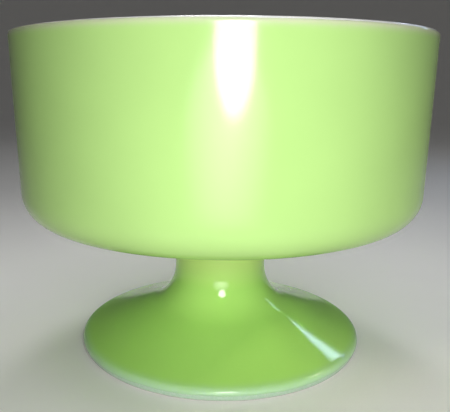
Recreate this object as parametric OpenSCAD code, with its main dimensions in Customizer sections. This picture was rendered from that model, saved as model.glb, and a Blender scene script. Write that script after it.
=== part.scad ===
// Footed sherbet glass: a straight-sided bowl welded onto a flared, hollow foot.
// Both glass pieces carry a thin fired-on colour coat on the outside.
// The axis is Z, sizes are in millimetres and the foot stands on Z = 0.

/* [Bowl] */
// Outside diameter of the glass at the lip
rim_d = 95; // [84:0.5:120]
// Height from the flat underside to the lip
bowl_h = 41.4; // [32:0.1:60]
// Lean of the outside wall, in degrees from upright
wall_lean = 1.1; // [0:0.1:3]
// Glass thickness of the wall at the lip
wall_t = 2.6; // [2:0.1:4]
// Glass thickness of the wall at floor level
wall_base_t = 3.2; // [2.2:0.1:5]
// Glass thickness of the floor
floor_t = 4; // [3:0.1:8]
// Outside radius between wall and underside
corner_r = 7; // [5:0.1:12]
// Inside radius between wall and floor
inside_corner_r = 6; // [3:0.1:10]
// Rounding of the lip, inside and outside
lip_r = 0.9; // [0.4:0.05:0.95]
// Height of the weld button under the bowl
button_h = 4; // [3.2:0.1:6]
// Fillet between the weld button and the underside
button_fillet_r = 3; // [1:0.1:3.1]

/* [Foot] */
// Height of the bowl's underside above the table
stand_h = 32.6; // [27:0.1:45]
// Diameter of the stem
stem_d = 22; // [17:0.1:27]
// Diameter of the glass at the foot's edge
foot_d = 69; // [60:0.5:82]
// Thickness of the foot's edge
edge_t = 3; // [2.8:0.1:4.5]
// Rounding of the foot's edge, above and below
edge_r = 1.25; // [0.6:0.05:1.35]
// Slope of the foot's top just inside its edge, in degrees
edge_slope = 16.5; // [10:0.5:20]
// Radius of the long sweep up from the edge
sweep_r = 121; // [80:1:300]
// Radius of the throat between sweep and stem
throat_r = 11; // [8:0.1:13]
// Glass thickness over the hollow
hollow_wall = 3.2; // [2.6:0.1:3.6]
// Width of the flat ring that the glass stands on
ring_w = 3.5; // [2.5:0.1:6]
// Height of the hollow's crown above the table
hollow_h = 16; // [12:0.5:20]

/* [Colour coat] */
// Thickness of the fired-on coat
coat_t = 0.2; // [0.1:0.05:0.4]
// How far the coat climbs the lip's rounding, in degrees
lip_cover = 30; // [10:1:60]

/* [Hidden] */

$fn = 180;
// How far a drawn arc may stray from its true curve
arc_tol = 0.005;
opal_white = [0.94, 0.94, 0.91];
lime_green = [0.62, 0.81, 0.38];

// Heights above the table
lip_z = stand_h + bowl_h;
floor_z = stand_h + floor_t;
weld_z = stand_h - button_h;
coat_foot_z = edge_t / 2;

// Radii of the plain surfaces, with the walls given at their imaginary sharp corners
rim_r = rim_d / 2;
stem_r = stem_d / 2;
foot_r = foot_d / 2;
outside_base_r = rim_r - bowl_h * tan(wall_lean);
inside_lip_r = rim_r - wall_t;
inside_base_r = rim_r - (bowl_h - floor_t) * tan(wall_lean) - wall_base_t;
inside_lean = atan((inside_lip_r - inside_base_r) / (bowl_h - floor_t));
ring_in_r = foot_r - edge_r - ring_w;

// Arc centres of the bowl, each arc touching the two surfaces that it joins
corner_c = [outside_base_r - corner_r * (1 - sin(wall_lean)) / cos(wall_lean), stand_h + corner_r];
inside_corner_c = [
    inside_base_r - inside_corner_r * (1 - sin(inside_lean)) / cos(inside_lean),
    floor_z + inside_corner_r
];
lip_out_c = [rim_r - lip_r * (1 + sin(wall_lean)) / cos(wall_lean), lip_z - lip_r];
lip_in_c = [inside_lip_r + lip_r * (1 - sin(inside_lean)) / cos(inside_lean), lip_z - lip_r];
fillet_c = [stem_r + button_fillet_r, stand_h - button_fillet_r];

// Arc centres of the foot: the sweep leaves the edge at edge_slope, and the throat touches sweep and stem
edge_low_c = [foot_r - edge_r, edge_r];
edge_top_c = [foot_r - edge_r, edge_t - edge_r];
sweep_c = edge_top_c + (sweep_r + edge_r) * [sin(edge_slope), cos(edge_slope)];
throat_x = stem_r + throat_r;
throat_c = [throat_x, sweep_c.y - sqrt(pow(sweep_r - throat_r, 2) - pow(sweep_c.x - throat_x, 2))];
join_slope = atan((sweep_c.x - throat_c.x) / (sweep_c.y - throat_c.y));

// The hollow keeps hollow_wall below sweep and throat, and its crown touches the throat's offset
roof_r = throat_r + hollow_wall;
crown_drop = throat_c.y - hollow_h;
crown_r = (pow(throat_x, 2) + pow(crown_drop, 2) - pow(roof_r, 2)) / (2 * (roof_r - crown_drop));
crown_c = [0, hollow_h - crown_r];
crown_end = atan((throat_c.y - crown_c.y) / throat_x);
ring_end = 180 + acos((sweep_c.x - ring_in_r) / (sweep_r + hollow_wall));

// Points on an arc from angle a to angle b, as many as arc_tol needs
function arc(c, r, a, b) =
    let (n = ceil(abs(b - a) / (2 * acos(1 - arc_tol / r))))
    [for (i = [0 : n]) c + r * [cos(a + (b - a) * i / n), sin(a + (b - a) * i / n)]];

// The bowl's outside from weld button to the coat's end on the lip, grown outwards by t
function bowl_skin(t) = concat(
    [[stem_r + t, weld_z]],
    arc(fillet_c, button_fillet_r - t, 180, 90),
    arc(corner_c, corner_r + t, -90, -wall_lean),
    arc(lip_out_c, lip_r + t, -wall_lean, lip_cover)
);

// The foot's outside from edge to weld, grown outwards by t
function foot_skin(t) = concat(
    arc(edge_top_c, edge_r + t, 0, 90 - edge_slope),
    arc(sweep_c, sweep_r - t, 270 - edge_slope, 270 - join_slope),
    arc(throat_c, throat_r - t, 270 - join_slope, 180),
    [[stem_r + t, weld_z]]
);

function reversed(points) = [for (i = [len(points) - 1 : -1 : 0]) points[i]];

function without_first(points) = [for (i = [1 : len(points) - 1]) points[i]];

// Pressed opal-glass bowl with its weld button
module bowl() {
    color(opal_white)
    rotate_extrude()
    polygon(concat(
        [[0, weld_z]],
        bowl_skin(0),
        without_first(arc(lip_out_c, lip_r, lip_cover, 90)),
        arc(lip_in_c, lip_r, 90, 180 - inside_lean),
        arc(inside_corner_c, inside_corner_r, -inside_lean, -90),
        [[0, floor_z]]
    ));
}

// Pressed opal-glass stem and flared foot, hollow underneath
module pedestal_foot() {
    color(opal_white)
    rotate_extrude()
    polygon(concat(
        [[ring_in_r, 0]],
        arc(edge_low_c, edge_r, -90, 0),
        foot_skin(0),
        [[0, weld_z]],
        arc(crown_c, crown_r, 90, crown_end),
        arc(throat_c, roof_r, 180 + crown_end, 270 - join_slope),
        arc(sweep_c, sweep_r + hollow_wall, 270 - join_slope, ring_end)
    ));
}

// Fired-on colour over the outside of the bowl, from weld to lip
module bowl_coat() {
    color(lime_green)
    rotate_extrude()
    polygon(concat(bowl_skin(coat_t), reversed(bowl_skin(0))));
}

// Fired-on colour over the stem and foot, from weld to the middle of the foot's edge
module foot_coat() {
    color(lime_green)
    rotate_extrude()
    polygon(concat(
        [[foot_r + coat_t, coat_foot_z]],
        foot_skin(coat_t),
        reversed(foot_skin(0)),
        [[foot_r, coat_foot_z]]
    ));
}

bowl();
pedestal_foot();
bowl_coat();
foot_coat();
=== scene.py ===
import math
import bpy
import numpy as np
from mathutils import Matrix, Vector


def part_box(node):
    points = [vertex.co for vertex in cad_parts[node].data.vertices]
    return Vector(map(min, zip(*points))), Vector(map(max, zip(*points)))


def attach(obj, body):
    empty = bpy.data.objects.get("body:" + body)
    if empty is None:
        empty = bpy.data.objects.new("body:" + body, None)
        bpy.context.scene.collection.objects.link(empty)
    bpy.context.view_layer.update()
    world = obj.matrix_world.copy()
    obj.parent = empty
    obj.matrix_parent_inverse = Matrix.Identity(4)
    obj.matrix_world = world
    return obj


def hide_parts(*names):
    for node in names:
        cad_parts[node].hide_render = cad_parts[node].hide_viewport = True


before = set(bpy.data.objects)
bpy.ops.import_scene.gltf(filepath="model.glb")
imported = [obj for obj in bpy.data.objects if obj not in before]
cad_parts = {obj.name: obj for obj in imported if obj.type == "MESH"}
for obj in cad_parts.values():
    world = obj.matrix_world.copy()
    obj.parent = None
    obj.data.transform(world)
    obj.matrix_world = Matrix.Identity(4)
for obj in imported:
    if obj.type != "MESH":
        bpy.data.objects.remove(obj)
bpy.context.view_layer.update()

mm = 0.001
print("frame loaded:", sorted(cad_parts))

# Sizes that the solids already settle
bowlLow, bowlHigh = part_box("bowl")
footLow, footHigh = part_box("pedestal_foot")
footCoatLow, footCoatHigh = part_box("foot_coat")
lipHeight = bowlHigh.z
weldHeight = bowlLow.z
rimRadius = (bowlHigh.x - bowlLow.x) / 2
footRadius = (footHigh.x - footLow.x) / 2
coatThickness = (footCoatHigh.x - footCoatLow.x) / 2 - footRadius

bowlShape = {
    "stemRadius": 11 * mm,
    "buttonHeight": 4 * mm,       # weld button under the bowl
    "buttonFillet": 3 * mm,
    "cornerRadius": 7 * mm,       # outside, wall into underside
    "insideCorner": 6 * mm,       # inside, wall into floor
    "floorThickness": 4 * mm,
    "wallAtLip": 2.6 * mm,
    "wallAtFloor": 3.2 * mm,
    "wallLean": 1.1,              # degrees from upright
    "lipRounding": 0.9 * mm,
}
footShape = {
    "edgeThickness": 3 * mm,
    "edgeRounding": 1.25 * mm,
    "edgeSlope": 16.5,            # degrees, just inside the edge
    "sweepRadius": 121 * mm,
    "throatRadius": 11 * mm,
    "hollowWall": 3.2 * mm,
    "ringWidth": 3.5 * mm,        # flat ring that the glass stands on
    "hollowHeight": 16 * mm,
}
meshFineness = {
    "around": 256,                # points in one turn
    "arcStep": 3.0,               # degrees between points on an arc
    "wideArc": 12 * mm,           # arcs of a larger radius get more points
    "leastOnArc": 6,
    "straightStep": 0.8 * mm,
    "samePoint": 0.01 * mm,       # ends of runs closer than this are one point
    "sharpAngle": 50,             # degrees between faces that are kept as a hard edge
}


# An arc: centre + radius * (cos a, sin a), a running evenly from one angle to the other
def arcRun(centre, radius, fromDeg, toDeg):
    finer = max(1, radius / meshFineness["wideArc"])
    count = int(abs(toDeg - fromDeg) * finer / meshFineness["arcStep"]) + 1
    a = np.radians(np.linspace(fromDeg, toDeg, max(meshFineness["leastOnArc"], count)))
    return np.column_stack((centre[0] + radius * np.cos(a), centre[1] + radius * np.sin(a)))


# A straight run: start + share * (end - start), share from 0 to 1
def straightRun(start, end):
    start, end = np.asarray(start, float), np.asarray(end, float)
    count = max(2, int(np.hypot(*(end - start)) / meshFineness["straightStep"]) + 1)
    return start + np.linspace(0, 1, count)[:, None] * (end - start)


# Runs laid end to end, with straight runs where their ends lie apart
def joinRuns(*runs):
    path = [np.atleast_2d(np.asarray(runs[0], float))]
    for run in runs[1:]:
        run = np.atleast_2d(np.asarray(run, float))
        apart = np.hypot(*(run[0] - path[-1][-1])) > meshFineness["samePoint"]
        if apart:
            path.append(straightRun(path[-1][-1], run[0])[1:-1])
        path.append(run if apart else run[1:])
    return np.vstack(path)


# Length along a path at each of its points: the running sum of its steps
def runLength(path):
    return np.concatenate(([0], np.cumsum(np.hypot(*np.diff(path, axis=0).T))))


# Direction square to a path: (dz, -dr), to the right of its travel
def pathNormal(path):
    travel = np.gradient(path, axis=0)
    travel /= np.hypot(*travel.T)[:, None]
    return np.column_stack((travel[:, 1], -travel[:, 0]))


# Turned surface: x = r cos v, y = r sin v, z = z, with r and z given on a grid of (path, turn).
# A loop closes along the path too; otherwise both ends lie on the axis and become single points.
def turnedPiece(name, radius, height, loop):
    rows, around = radius.shape
    v = np.linspace(0, 2 * np.pi, around, endpoint=False)
    grid = np.stack((radius * np.cos(v), radius * np.sin(v), height), axis=-1)
    column = np.arange(around)
    nextColumn = (column + 1) % around
    if loop:
        verts = grid.reshape(-1, 3)
        low = np.arange(rows)[:, None] * around
        high = ((np.arange(rows) + 1) % rows)[:, None] * around
        fans = np.empty((0, 3), int)
    else:
        verts = np.vstack((grid[0, :1], grid[1:-1].reshape(-1, 3), grid[-1, :1]))
        low = 1 + np.arange(rows - 3)[:, None] * around
        high = low + around
        last = len(verts) - 1
        ring = last - around
        fans = np.vstack((
            np.column_stack((np.zeros(around, int), 1 + nextColumn, 1 + column)),
            np.column_stack((np.full(around, last), ring + column, ring + nextColumn)),
        ))
    quads = np.stack((low + column, low + nextColumn, high + nextColumn, high + column), axis=-1)
    quads = quads.reshape(-1, 4)
    mesh = bpy.data.meshes.new(name)
    mesh.vertices.add(len(verts))
    mesh.vertices.foreach_set("co", verts.ravel())
    corners = np.concatenate((quads.ravel(), fans.ravel()))
    sizes = np.concatenate((np.full(len(quads), 4), np.full(len(fans), 3)))
    mesh.loops.add(len(corners))
    mesh.loops.foreach_set("vertex_index", corners)
    mesh.polygons.add(len(sizes))
    mesh.polygons.foreach_set("loop_start", np.concatenate(([0], np.cumsum(sizes)[:-1])))
    mesh.update(calc_edges=True)
    mesh.validate()
    mesh.polygons.foreach_set("use_smooth", np.ones(len(sizes), bool))
    mesh.set_sharp_from_angle(angle=math.radians(meshFineness["sharpAngle"]))
    piece = bpy.data.objects.new(name, mesh)
    bpy.context.scene.collection.objects.link(piece)
    print("made", name, len(verts), "points")
    return piece


# Slow waves round the rim, within plus and minus 1: the sum of share * sin(turns * v + start)
def edgeWave(v, waves):
    return sum(share * np.sin(turns * v + start) for turns, share, start in waves)


# Centre of an arc that touches a leaning wall and a level face: moved in by r (1 -+ sin tilt) / cos tilt
def touchingCentre(wallRadius, height, r, tilt, side):
    return (wallRadius - r * (1 - side * math.sin(tilt)) / math.cos(tilt), height + side * r)


# Bowl outline, worked out from the driving sizes as touching arcs
lean = math.radians(bowlShape["wallLean"])
underside = weldHeight + bowlShape["buttonHeight"]
floorHeight = underside + bowlShape["floorThickness"]
stemRadius = bowlShape["stemRadius"]
lipRound = bowlShape["lipRounding"]
fillet = bowlShape["buttonFillet"]
wallRise = lipHeight - floorHeight
outsideAtBase = rimRadius - (lipHeight - underside) * math.tan(lean)
insideAtLip = rimRadius - bowlShape["wallAtLip"]
insideAtFloor = rimRadius - wallRise * math.tan(lean) - bowlShape["wallAtFloor"]
insideLean = math.atan((insideAtLip - insideAtFloor) / wallRise)
insideDeg = math.degrees(insideLean)
cornerCentre = touchingCentre(outsideAtBase, underside, bowlShape["cornerRadius"], lean, 1)
insideCornerCentre = touchingCentre(insideAtFloor, floorHeight, bowlShape["insideCorner"], insideLean, 1)
lipOutCentre = touchingCentre(rimRadius, lipHeight, lipRound, lean, -1)
lipInward = lipRound * (1 - math.sin(insideLean)) / math.cos(insideLean)
lipInCentre = (insideAtLip + lipInward, lipHeight - lipRound)
filletCentre = (stemRadius + fillet, underside - fillet)
bowlSkin = joinRuns(
    (stemRadius, weldHeight),
    arcRun(filletCentre, fillet, 180, 90),
    arcRun(cornerCentre, bowlShape["cornerRadius"], -90, -bowlShape["wallLean"]),
    arcRun(lipOutCentre, lipRound, -bowlShape["wallLean"], 90),
)
bowlPath = joinRuns(
    (0, weldHeight),
    bowlSkin,
    arcRun(lipInCentre, lipRound, 90, 180 - insideDeg),
    arcRun(insideCornerCentre, bowlShape["insideCorner"], -insideDeg, -90),
    (0, floorHeight),
)

# Foot outline: edge, long sweep and throat as touching arcs, with the hollow's roof kept under them
slope = math.radians(footShape["edgeSlope"])
edgeRound = footShape["edgeRounding"]
sweep = footShape["sweepRadius"]
throat = footShape["throatRadius"]
crownHeight = footShape["hollowHeight"]
edgeLowCentre = (footRadius - edgeRound, edgeRound)
edgeTopCentre = (footRadius - edgeRound, footShape["edgeThickness"] - edgeRound)
sweepCentre = (
    edgeTopCentre[0] + (sweep + edgeRound) * math.sin(slope),
    edgeTopCentre[1] + (sweep + edgeRound) * math.cos(slope),
)
throatX = stemRadius + throat
throatDrop = math.sqrt((sweep - throat) ** 2 - (sweepCentre[0] - throatX) ** 2)
throatCentre = (throatX, sweepCentre[1] - throatDrop)
joinDeg = math.degrees(math.atan((sweepCentre[0] - throatX) / throatDrop))
roof = throat + footShape["hollowWall"]
crownDrop = throatCentre[1] - crownHeight
crownRadius = (throatX ** 2 + crownDrop ** 2 - roof ** 2) / (2 * (roof - crownDrop))
crownCentre = (0, crownHeight - crownRadius)
crownDeg = math.degrees(math.atan((throatCentre[1] - crownCentre[1]) / throatX))
ringInside = footRadius - edgeRound - footShape["ringWidth"]
underSweep = sweep + footShape["hollowWall"]
ringDeg = 180 + math.degrees(math.acos((sweepCentre[0] - ringInside) / underSweep))
footSkin = joinRuns(
    (footRadius, edgeRound),
    arcRun(edgeTopCentre, edgeRound, 0, 90 - footShape["edgeSlope"]),
    arcRun(sweepCentre, sweep, 270 - footShape["edgeSlope"], 270 - joinDeg),
    arcRun(throatCentre, throat, 270 - joinDeg, 180),
    (stemRadius, weldHeight),
)
footPath = joinRuns(
    (0, crownHeight),
    arcRun(crownCentre, crownRadius, 90, crownDeg),
    arcRun(throatCentre, roof, 180 + crownDeg, 270 - joinDeg),
    arcRun(sweepCentre, underSweep, 270 - joinDeg, ringDeg),
    (ringInside, 0),
    arcRun(edgeLowCentre, edgeRound, -90, 0),
    footSkin,
    (0, weldHeight),
)
print("outlines:", len(bowlPath), "points on the bowl,", len(footPath), "on the foot")


# Glass piece: one outline turned round the axis, the same at every angle
def glassPiece(name, path):
    ones = np.ones(meshFineness["around"])
    return turnedPiece(name, path[:, :1] * ones, path[:, 1:] * ones, False)


coatEdges = {
    "lipCover": 46,              # degrees that the enamel climbs the lip's rounding
    "seat": 0.01 * mm,           # hair gap between glass and enamel
    "feather": 0.45 * mm,        # length over which the enamel thins to its edge
    "least": 0.15,               # share of the thickness left at the very edge
    "spare": 0.3 * mm,           # length that the path runs past the mean edge, for the wander
    "edgeRows": 24,              # rows of points beside the edge
    "edgeCrowd": 1.6,            # above 1 they crowd towards it
    "edgeReach": 4,              # feathers that they cover
    "insideRows": 48,            # rows on the face towards the glass
    "bowlPale": 0.9 * mm,        # how far the colour stays thin beside the edge
    "footPale": 1.7 * mm,
    "bowlWander": 0.3 * mm,      # how far the edge strays up and down
    "footWander": 0.28 * mm,
    # waves of that wander: turns, share and start of each
    "bowlWaves": ((1, 0.5, -1.13), (2, 0.15, 0.4), (3, 0.12, 2.1),
                  (7, 0.1, 1.0), (13, 0.08, 4.0), (23, 0.05, 0.7)),
    "footWaves": ((2, 0.36, 1.57), (5, 0.18, 1.2), (9, 0.18, 5.0), (17, 0.16, 2.2), (31, 0.11, 0.3)),
}


# Enamel skin on a glass path. Row u runs from the path's start to its end, which wanders by wave(v).
# The inner face stands off by a hair, the outer one by the thickness times
# least + (1 - least) * sqrt(1 - (1 - distance from the end / feather)^2).
def enamelPiece(name, path, wander, paleReach, side):
    along = runLength(path)
    normal = pathNormal(path) * side
    crowd = np.linspace(1, 0, coatEdges["edgeRows"]) ** coatEdges["edgeCrowd"]
    edgeRows = 1 - crowd * (coatEdges["edgeReach"] * coatEdges["feather"] / along[-1])
    share = np.concatenate((np.linspace(0, edgeRows[0], len(path), endpoint=False), edgeRows))
    s = share[:, None] * (along[-1] + wander)
    away = along[-1] + wander - s
    r, z = np.interp(s, along, path[:, 0]), np.interp(s, along, path[:, 1])
    nr, nz = np.interp(s, along, normal[:, 0]), np.interp(s, along, normal[:, 1])
    near = np.clip(away / coatEdges["feather"], 0, 1)
    fade = coatEdges["least"] + (1 - coatEdges["least"]) * np.sqrt(1 - (1 - near) ** 2)
    outer = coatEdges["seat"] + (coatThickness - coatEdges["seat"]) * fade
    back = np.unique(np.linspace(len(share) - 1, 0, coatEdges["insideRows"]).astype(int))[::-1]
    radii = np.vstack((r + nr * outer, (r + nr * coatEdges["seat"])[back]))[::side]
    heights = np.vstack((z + nz * outer, (z + nz * coatEdges["seat"])[back]))[::side]
    pale = np.exp(-(away / paleReach) ** 2)
    piece = turnedPiece(name, radii, heights, True)
    thin = piece.data.attributes.new("thin", "FLOAT", "POINT")
    thin.data.foreach_set("value", np.vstack((pale, pale[back]))[::side].ravel())
    return piece


turnAngles = np.linspace(0, 2 * np.pi, meshFineness["around"], endpoint=False)
spare = coatEdges["spare"]
opalBowl = glassPiece("opalBowl", bowlPath)
opalFoot = glassPiece("opalFoot", footPath)

# the bowl's enamel ends part of the way up the lip's rounding, give or take the wander
lipLeft = lipRound * math.radians(90 - coatEdges["lipCover"]) - spare
bowlLength = runLength(bowlSkin)
bowlCoatPath = bowlSkin[bowlLength < bowlLength[-1] - lipLeft]
bowlWander = coatEdges["bowlWander"] * edgeWave(turnAngles, coatEdges["bowlWaves"]) - spare
bowlEnamel = enamelPiece("bowlEnamel", bowlCoatPath, bowlWander, coatEdges["bowlPale"], 1)

# the foot's enamel runs down from the weld to the middle of the edge, give or take the wander
footEnd = footCoatLow.z
footCoatPath = footSkin[::-1]
footCoatPath = joinRuns(footCoatPath[footCoatPath[:, 1] > footEnd], (footRadius, footEnd - spare))
footWander = coatEdges["footWander"] * edgeWave(turnAngles, coatEdges["footWaves"]) - spare
footEnamel = enamelPiece("footEnamel", footCoatPath, footWander, coatEdges["footPale"], -1)


# One shader node, with its own settings such as operation or data type
def addNode(tree, kind, **settings):
    node = tree.nodes.new(kind)
    for key, value in settings.items():
        setattr(node, key, value)
    return node


# Numbers put straight on a node's sockets, each found by its name
def setInputs(node, values):
    for key, value in values.items():
        node.inputs[key].default_value = value


# Noise on Object coordinates: its scale is 1 / size, the width of its blobs in metres
def noiseNode(tree, coords, size, detail, roughness):
    node = addNode(tree, "ShaderNodeTexNoise")
    setInputs(node, {"Scale": 1 / size, "Detail": detail, "Roughness": roughness})
    tree.links.new(coords, node.inputs["Vector"])
    return node.outputs["Fac"]


# Height above the table: z of the coordinates
def heightNode(tree, coords):
    node = addNode(tree, "ShaderNodeSeparateXYZ")
    tree.links.new(coords, node.inputs["Vector"])
    return node.outputs["Z"]


# Distance from the axis: the length of (x, y, 0)
def reachNode(tree, coords):
    level = addNode(tree, "ShaderNodeVectorMath", operation="MULTIPLY")
    tree.links.new(coords, level.inputs[0])
    level.inputs[1].default_value = (1, 1, 0)
    node = addNode(tree, "ShaderNodeVectorMath", operation="LENGTH")
    tree.links.new(level.outputs["Vector"], node.inputs[0])
    return node.outputs["Value"]


# Straight-line change of range, held at both ends
def rangeNode(tree, value, low, high, toLow, toHigh):
    node = addNode(tree, "ShaderNodeMapRange", clamp=True)
    setInputs(node, {"From Min": low, "From Max": high, "To Min": toLow, "To Max": toHigh})
    tree.links.new(value, node.inputs["Value"])
    return node.outputs["Result"]


# Two sockets put together by the named operation, the result held between 0 and 1
def mathNode(tree, operation, a, b):
    node = addNode(tree, "ShaderNodeMath", operation=operation, use_clamp=True)
    tree.links.new(a, node.inputs[0])
    tree.links.new(b, node.inputs[1])
    return node.outputs["Value"]


# Colour a + factor * (b - a); each is three numbers or a socket
def mixColour(tree, factor, a, b):
    node = addNode(tree, "ShaderNodeMix", data_type="RGBA", blend_type="MIX")
    tree.links.new(factor, node.inputs["Factor"])
    for name, value in (("A_Color", a), ("B_Color", b)):
        socket = next(s for s in node.inputs if s.identifier == name)
        if isinstance(value, tuple):
            socket.default_value = (*value, 1)
        else:
            tree.links.new(value, socket)
    return next(s for s in node.outputs if s.identifier == "Result_Color")


# A new material with its node tree, its shader and the Object coordinates that its patterns read
def newMaterial(name):
    material = bpy.data.materials.new(name)
    material.use_nodes = True
    tree = material.node_tree
    shader = next(n for n in tree.nodes if n.type == "BSDF_PRINCIPLED")
    coords = addNode(tree, "ShaderNodeTexCoord").outputs["Object"]
    return material, tree, shader, coords


limeEnamel = {
    # the bowl's green is made paler than the foot's as painted sheen, and the foot's brighter as painted
    # light where the lamps reach it less
    "bowl": (0.468, 0.745, 0.24),
    "foot": (0.48, 0.85, 0.19),
    "deep": 0.94,                      # share of the colour left in the deeper blotches
    "bowlThin": (0.64, 0.66, 0.48),    # where white glass shows through a thin edge
    "footThin": (0.51, 0.78, 0.54),
    "joint": (0.60, 0.84, 0.24),       # paler, yellower green round the joint of stem and bowl
    "stemRise": (15.5 * mm, 22 * mm),  # heights over which the stem turns to it
    "underReach": (13 * mm, 27 * mm),  # distances from the axis over which the underside leaves it
    "bowlGloss": (0.12, 0.17),         # roughness where it is smoothest and dullest
    "footGloss": (0.07, 0.105),
    "ior": 1.46,
    # noises: blob size, detail and roughness, then the values between which each one fades
    "blotch": (16 * mm, 1.5, 0.5),
    "blotchSpan": (0.2, 0.8),
    "smudge": (24 * mm, 2, 0.5),       # dull patches in the gloss
    "smudgeSpan": (0.2, 0.8),
    "grain": (0.7 * mm, 4, 0.7),       # breaks up the thin edge
    "grainSpan": (0.3, 0.7),
    "grainShare": (0.7, 1),
    "peel": (1.8 * mm, 2, 0.5),        # orange-peel ripple of the fired surface
    "peelStrength": 0.12,
    "peelDepth": 0.05 * mm,
}


# Fired-on enamel: two close greens in soft blotches, paler beside its edges, faint orange peel
def enamelMaterial(values, name, colour, thinned, gloss, onFoot):
    material, tree, shader, coords = newMaterial(name)
    blotch = rangeNode(tree, noiseNode(tree, coords, *values["blotch"]), *values["blotchSpan"], 0, 1)
    green = mixColour(tree, blotch, colour, tuple(values["deep"] * c for c in colour))
    if onFoot:
        joint = rangeNode(tree, heightNode(tree, coords), *values["stemRise"], 0, 1)
    else:
        joint = rangeNode(tree, reachNode(tree, coords), *values["underReach"], 1, 0)
    green = mixColour(tree, joint, green, values["joint"])
    thin = addNode(tree, "ShaderNodeAttribute", attribute_name="thin").outputs["Fac"]
    grain = noiseNode(tree, coords, *values["grain"])
    grain = rangeNode(tree, grain, *values["grainSpan"], *values["grainShare"])
    green = mixColour(tree, mathNode(tree, "MULTIPLY", thin, grain), green, thinned)
    tree.links.new(green, shader.inputs["Base Color"])
    smudge = noiseNode(tree, coords, *values["smudge"])
    tree.links.new(rangeNode(tree, smudge, *values["smudgeSpan"], *gloss), shader.inputs["Roughness"])
    bump = addNode(tree, "ShaderNodeBump")
    setInputs(bump, {"Strength": values["peelStrength"], "Distance": values["peelDepth"]})
    tree.links.new(noiseNode(tree, coords, *values["peel"]), bump.inputs["Height"])
    tree.links.new(bump.outputs["Normal"], shader.inputs["Normal"])
    setInputs(shader, {"IOR": values["ior"]})
    return material


opalWhite = {
    "colour": (0.90, 0.90, 0.86),
    "cloud": (0.84, 0.85, 0.82),
    "smooth": 0.14,                        # roughness of the clean surface
    "dull": 0.22,                          # under a haze of use
    "worn": 0.45,                          # on the standing ring
    "wornRise": (0.05 * mm, 0.3 * mm),     # heights over which the wear ends
    "ior": 1.52,
    "inside": 0.2,                         # share of light carried inside the glass
    "insideReach": 2 * mm,
    "insideTint": (1.0, 0.9, 0.75),
    "overspray": (0.47, 0.73, 0.51),       # mist of enamel below the coat on the foot's edge
    "mistRise": (0.05 * mm, 0.8 * mm),     # heights over which it comes in
    "mistEnd": (2.4 * mm, 2.6 * mm),       # heights over which it ends, behind the coat
    "mistReach": (-3 * mm, -1.5 * mm),     # distances from the edge over which it comes in
    # noises: blob size, detail and roughness, then the values between which each one fades
    "clouding": (18 * mm, 3, 0.5),
    "cloudSpan": (0.4, 0.7),
    "haze": (20 * mm, 5, 0.6),
    "hazeSpan": (0.4, 0.7),
    "speckle": (0.5 * mm, 5, 0.75),
    "speckleSpan": (0.35, 0.65),
    "speckleShare": (0.6, 1),
}


# White opal glass: faint clouding and a little light carried inside, with mist on the foot's edge and a
# scuffed standing ring, or else a haze of use
def opalMaterial(values, name, onFoot):
    material, tree, shader, coords = newMaterial(name)
    cloud = rangeNode(tree, noiseNode(tree, coords, *values["clouding"]), *values["cloudSpan"], 0, 1)
    white = mixColour(tree, cloud, values["colour"], values["cloud"])
    if onFoot:
        height = heightNode(tree, coords)
        fall = rangeNode(tree, height, *values["mistRise"], 0, 1)
        speckle = noiseNode(tree, coords, *values["speckle"])
        speckle = rangeNode(tree, speckle, *values["speckleSpan"], *values["speckleShare"])
        onEdge = rangeNode(tree, height, *values["mistEnd"], 1, 0)
        comeIn = [footRadius + distance for distance in values["mistReach"]]
        outside = rangeNode(tree, reachNode(tree, coords), *comeIn, 0, 1)
        cover = mathNode(tree, "MULTIPLY", mathNode(tree, "MULTIPLY", fall, onEdge), outside)
        cover = mathNode(tree, "MULTIPLY", cover, speckle)
        white = mixColour(tree, cover, white, values["overspray"])
        rough = rangeNode(tree, height, *values["wornRise"], values["worn"], values["smooth"])
    else:
        haze = noiseNode(tree, coords, *values["haze"])
        rough = rangeNode(tree, haze, *values["hazeSpan"], values["smooth"], values["dull"])
    tree.links.new(rough, shader.inputs["Roughness"])
    tree.links.new(white, shader.inputs["Base Color"])
    setInputs(shader, {"IOR": values["ior"], "Subsurface Weight": values["inside"]})
    setInputs(shader, {"Subsurface Scale": values["insideReach"], "Subsurface Radius": values["insideTint"]})
    return material


bowlGreen = enamelMaterial(
    limeEnamel, "limeEnamelBowl", limeEnamel["bowl"], limeEnamel["bowlThin"], limeEnamel["bowlGloss"], False)
footGreen = enamelMaterial(
    limeEnamel, "limeEnamelFoot", limeEnamel["foot"], limeEnamel["footThin"], limeEnamel["footGloss"], True)
bowlFinish = opalMaterial(opalWhite, "opalWhiteBowl", False)
footFinish = opalMaterial(opalWhite, "opalWhiteFoot", True)
for piece, finish, node, slot in (
    (opalBowl, bowlFinish, "bowl", "opal_glass_bowl"),
    (opalFoot, footFinish, "pedestal_foot", "opal_glass_foot"),
    (bowlEnamel, bowlGreen, "bowl_coat", "green_coat_bowl"),
    (footEnamel, footGreen, "foot_coat", "green_coat_foot"),
):
    piece.data.materials.append(finish)
    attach(piece, "root")
    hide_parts(node)
print("finishes set")

stageShape = {
    "middle": 0.2,                   # radii and heights in metres
    "flat": 0.8,
    "sweep": 0.5,
    "rise": 0.6,
    "around": 128,
    "skip": 8,                       # keeps one in so many points of the sweep
    "colour": (0.90, 0.89, 0.87),
    "deep": 0.97,                    # share of the colour left in the deeper mottles
    "mottle": (60 * mm, 4, 0.5),     # noise: blob size, detail and roughness
    "mottleSpan": (0.3, 0.7),
    "roughness": 0.7,
    "glow": 0.07,                    # paleness that only shows to the eye and in reflections
    "bounce": (0.66, 0.60, 0.52),    # darker towards the object, so that it lights it less
}


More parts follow.
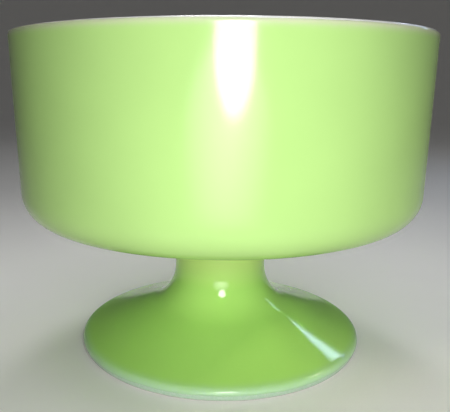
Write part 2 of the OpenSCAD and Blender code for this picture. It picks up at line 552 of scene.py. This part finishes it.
# Stage: a level disc whose rim sweeps up through a quarter circle into a plain wall, turned round the axis
def makeStage(values):
    sweepUp = arcRun((values["flat"], values["sweep"]), values["sweep"], -90, 0)[::values["skip"]]
    top = (values["flat"] + values["sweep"], values["sweep"] + values["rise"])
    path = np.vstack(((0, 0), (values["middle"], 0), sweepUp, top))
    radius, height = path[:, :1], path[:, 1:]
    v = np.linspace(0, 2 * np.pi, values["around"], endpoint=False)
    grid = np.stack((radius * np.cos(v), radius * np.sin(v), height * np.ones_like(v)), axis=-1)
    low = np.arange(len(path) - 1)[:, None] * values["around"]
    high = low + values["around"]
    column = np.arange(values["around"])
    after = (column + 1) % values["around"]
    faces = np.stack((low + column, high + column, high + after, low + after), axis=-1).reshape(-1, 4)
    mesh = bpy.data.meshes.new("stageFloor")
    mesh.from_pydata(grid.reshape(-1, 3).tolist(), [], faces.tolist())
    mesh.validate()
    mesh.polygons.foreach_set("use_smooth", np.ones(len(mesh.polygons), bool))
    floor = bpy.data.objects.new("stageFloor", mesh)
    bpy.context.scene.collection.objects.link(floor)
    material, tree, shader, coords = newMaterial("paleStage")
    tone = rangeNode(tree, noiseNode(tree, coords, *values["mottle"]), *values["mottleSpan"], 0, 1)
    pale = mixColour(tree, tone, values["colour"], tuple(values["deep"] * c for c in values["colour"]))
    rays = addNode(tree, "ShaderNodeLightPath")
    seen = mathNode(tree, "ADD", rays.outputs["Is Camera Ray"], rays.outputs["Is Glossy Ray"])
    seen = mathNode(tree, "ADD", seen, rays.outputs["Is Transmission Ray"])
    tree.links.new(mixColour(tree, seen, values["bounce"], pale), shader.inputs["Base Color"])
    tree.links.new(rangeNode(tree, seen, 0, 1, 0, values["glow"]), shader.inputs["Emission Strength"])
    setInputs(shader, {"Roughness": values["roughness"], "Emission Color": (*values["colour"], 1)})
    mesh.materials.append(material)


makeStage(stageShape)
print("stage set")

# What a lamp has unless it says otherwise: the way that its width lies, spread in degrees
plainLamp = {"along": (1, 0, 0), "spread": 180, "colour": (1.0, 1.0, 1.0), "highlight": True}
lights = {
    # place, aim and size in metres
    "frontLamp": {"place": (0.0089, -0.141, 0.0728), "aim": (0.0, 0.0, 0.064),
                  "size": (0.0386, 0.0476), "watts": 0.096},
    "frontCard": {"place": (0.004, -0.190, 0.028), "aim": (0.0, -0.02, 0.03),
                  "size": (0.13, 0.09), "watts": 0.0152, "spread": 50},
    "topSoftbox": {"place": (0.0, 0.02, 0.36), "aim": (0.0, 0.02, 0.0),
                   "size": (0.30, 0.30), "watts": 0.38},
    "backSoftbox": {"place": (0.0, 0.27, 0.35), "aim": (0.0, 0.0, 0.04),
                    "size": (0.12, 0.12), "watts": 0.045, "spread": 60},
    # bluish end and length of the streak on the foot, and the warm glint on its edge
    "sideLamp": {"place": (0.240, 0.304, 0.2876), "aim": (0.0205, -0.0165, 0.0055),
                 "along": (0.819, -0.574, 0), "size": (0.010, 0.036), "watts": 0.012,
                 "colour": (0.55, 0.72, 1.0)},
    "sideStrip": {"place": (0.2682, 0.207, 0.1964), "aim": (0.0145, -0.0085, 0.0098),
                  "along": (-0.1778, 0.1401, 0.080), "size": (0.24, 0.018), "watts": 0.062,
                  "colour": (0.55, 0.72, 1.0)},
    "edgeLamp": {"place": (0.248, -0.0197, 0.197), "aim": (0.0196, -0.0281, 0.0028),
                 "along": (0, 1, 0), "size": (0.021, 0.063), "watts": 0.0013, "spread": 12,
                 "colour": (1.0, 0.92, 0.72)},
    # low lamps for the back of the glass, which make no highlight
    "backLeft": {"place": (-0.258, 0.486, 0.03), "aim": (0.0, 0.0, 0.064),
                 "size": (0.20, 0.05), "watts": 0.021, "spread": 28, "highlight": False},
    "backRight": {"place": (0.258, 0.486, 0.03), "aim": (0.0, 0.0, 0.064),
                  "size": (0.20, 0.05), "watts": 0.021, "spread": 28, "highlight": False},
}
roomLight = {"colour": (0.93, 0.96, 1.0), "level": 0.02}


# Oval lamp that shines along aim - place, its width laid along a given way and its height square to both;
# it stays out of the picture itself
def softbox(name, values):
    lamp = bpy.data.lights.new(name, "AREA")
    lamp.shape = "ELLIPSE"
    lamp.size, lamp.size_y = values["size"]
    lamp.energy = values["watts"]
    lamp.spread = math.radians(values["spread"])
    lamp.color = values["colour"]
    thing = bpy.data.objects.new(name, lamp)
    behind = (Vector(values["place"]) - Vector(values["aim"])).normalized()
    up = behind.cross(Vector(values["along"])).normalized()
    turn = Matrix((up.cross(behind), up, behind)).transposed().to_4x4()
    thing.matrix_world = Matrix.Translation(values["place"]) @ turn
    thing.visible_camera = False
    thing.visible_glossy = values["highlight"]
    bpy.context.scene.collection.objects.link(thing)


for name, values in lights.items():
    softbox(name, {**plainLamp, **values})
world = bpy.data.worlds.new("paleRoom")
world.use_nodes = True
background = world.node_tree.nodes["Background"]
setInputs(background, {"Color": (*roomLight["colour"], 1), "Strength": roomLight["level"]})
bpy.context.scene.world = world
print("lights set")

cameraView = {
    "place": (-3.49 * mm, -140.67 * mm, 64.12 * mm),
    "pitch": 0.2142,         # radians below level
    "roll": 0.0035,
    "focalPixels": 578.6,    # in a picture 450 wide
    "shiftPixels": 18.5,     # the picture's middle lies this far right of the optical axis
    "pictureWidth": 450,
    "sensorWidth": 36,       # millimetres, as Blender counts lenses
    "nearest": 5 * mm,
}
lens = bpy.data.cameras.new("photoCamera")
lens.sensor_width = cameraView["sensorWidth"]
lens.lens = cameraView["focalPixels"] / cameraView["pictureWidth"] * lens.sensor_width
lens.shift_x = cameraView["shiftPixels"] / cameraView["pictureWidth"]
lens.clip_start = cameraView["nearest"]
camera = bpy.data.objects.new("photoCamera", lens)
camera.matrix_world = (
    Matrix.Translation(cameraView["place"])
    @ Matrix.Rotation(math.pi / 2 - cameraView["pitch"], 4, "X")
    @ Matrix.Rotation(cameraView["roll"], 4, "Z")
)
bpy.context.scene.collection.objects.link(camera)
bpy.context.scene.camera = camera
bpy.context.scene.view_settings.view_transform = "Standard"
print("camera set")
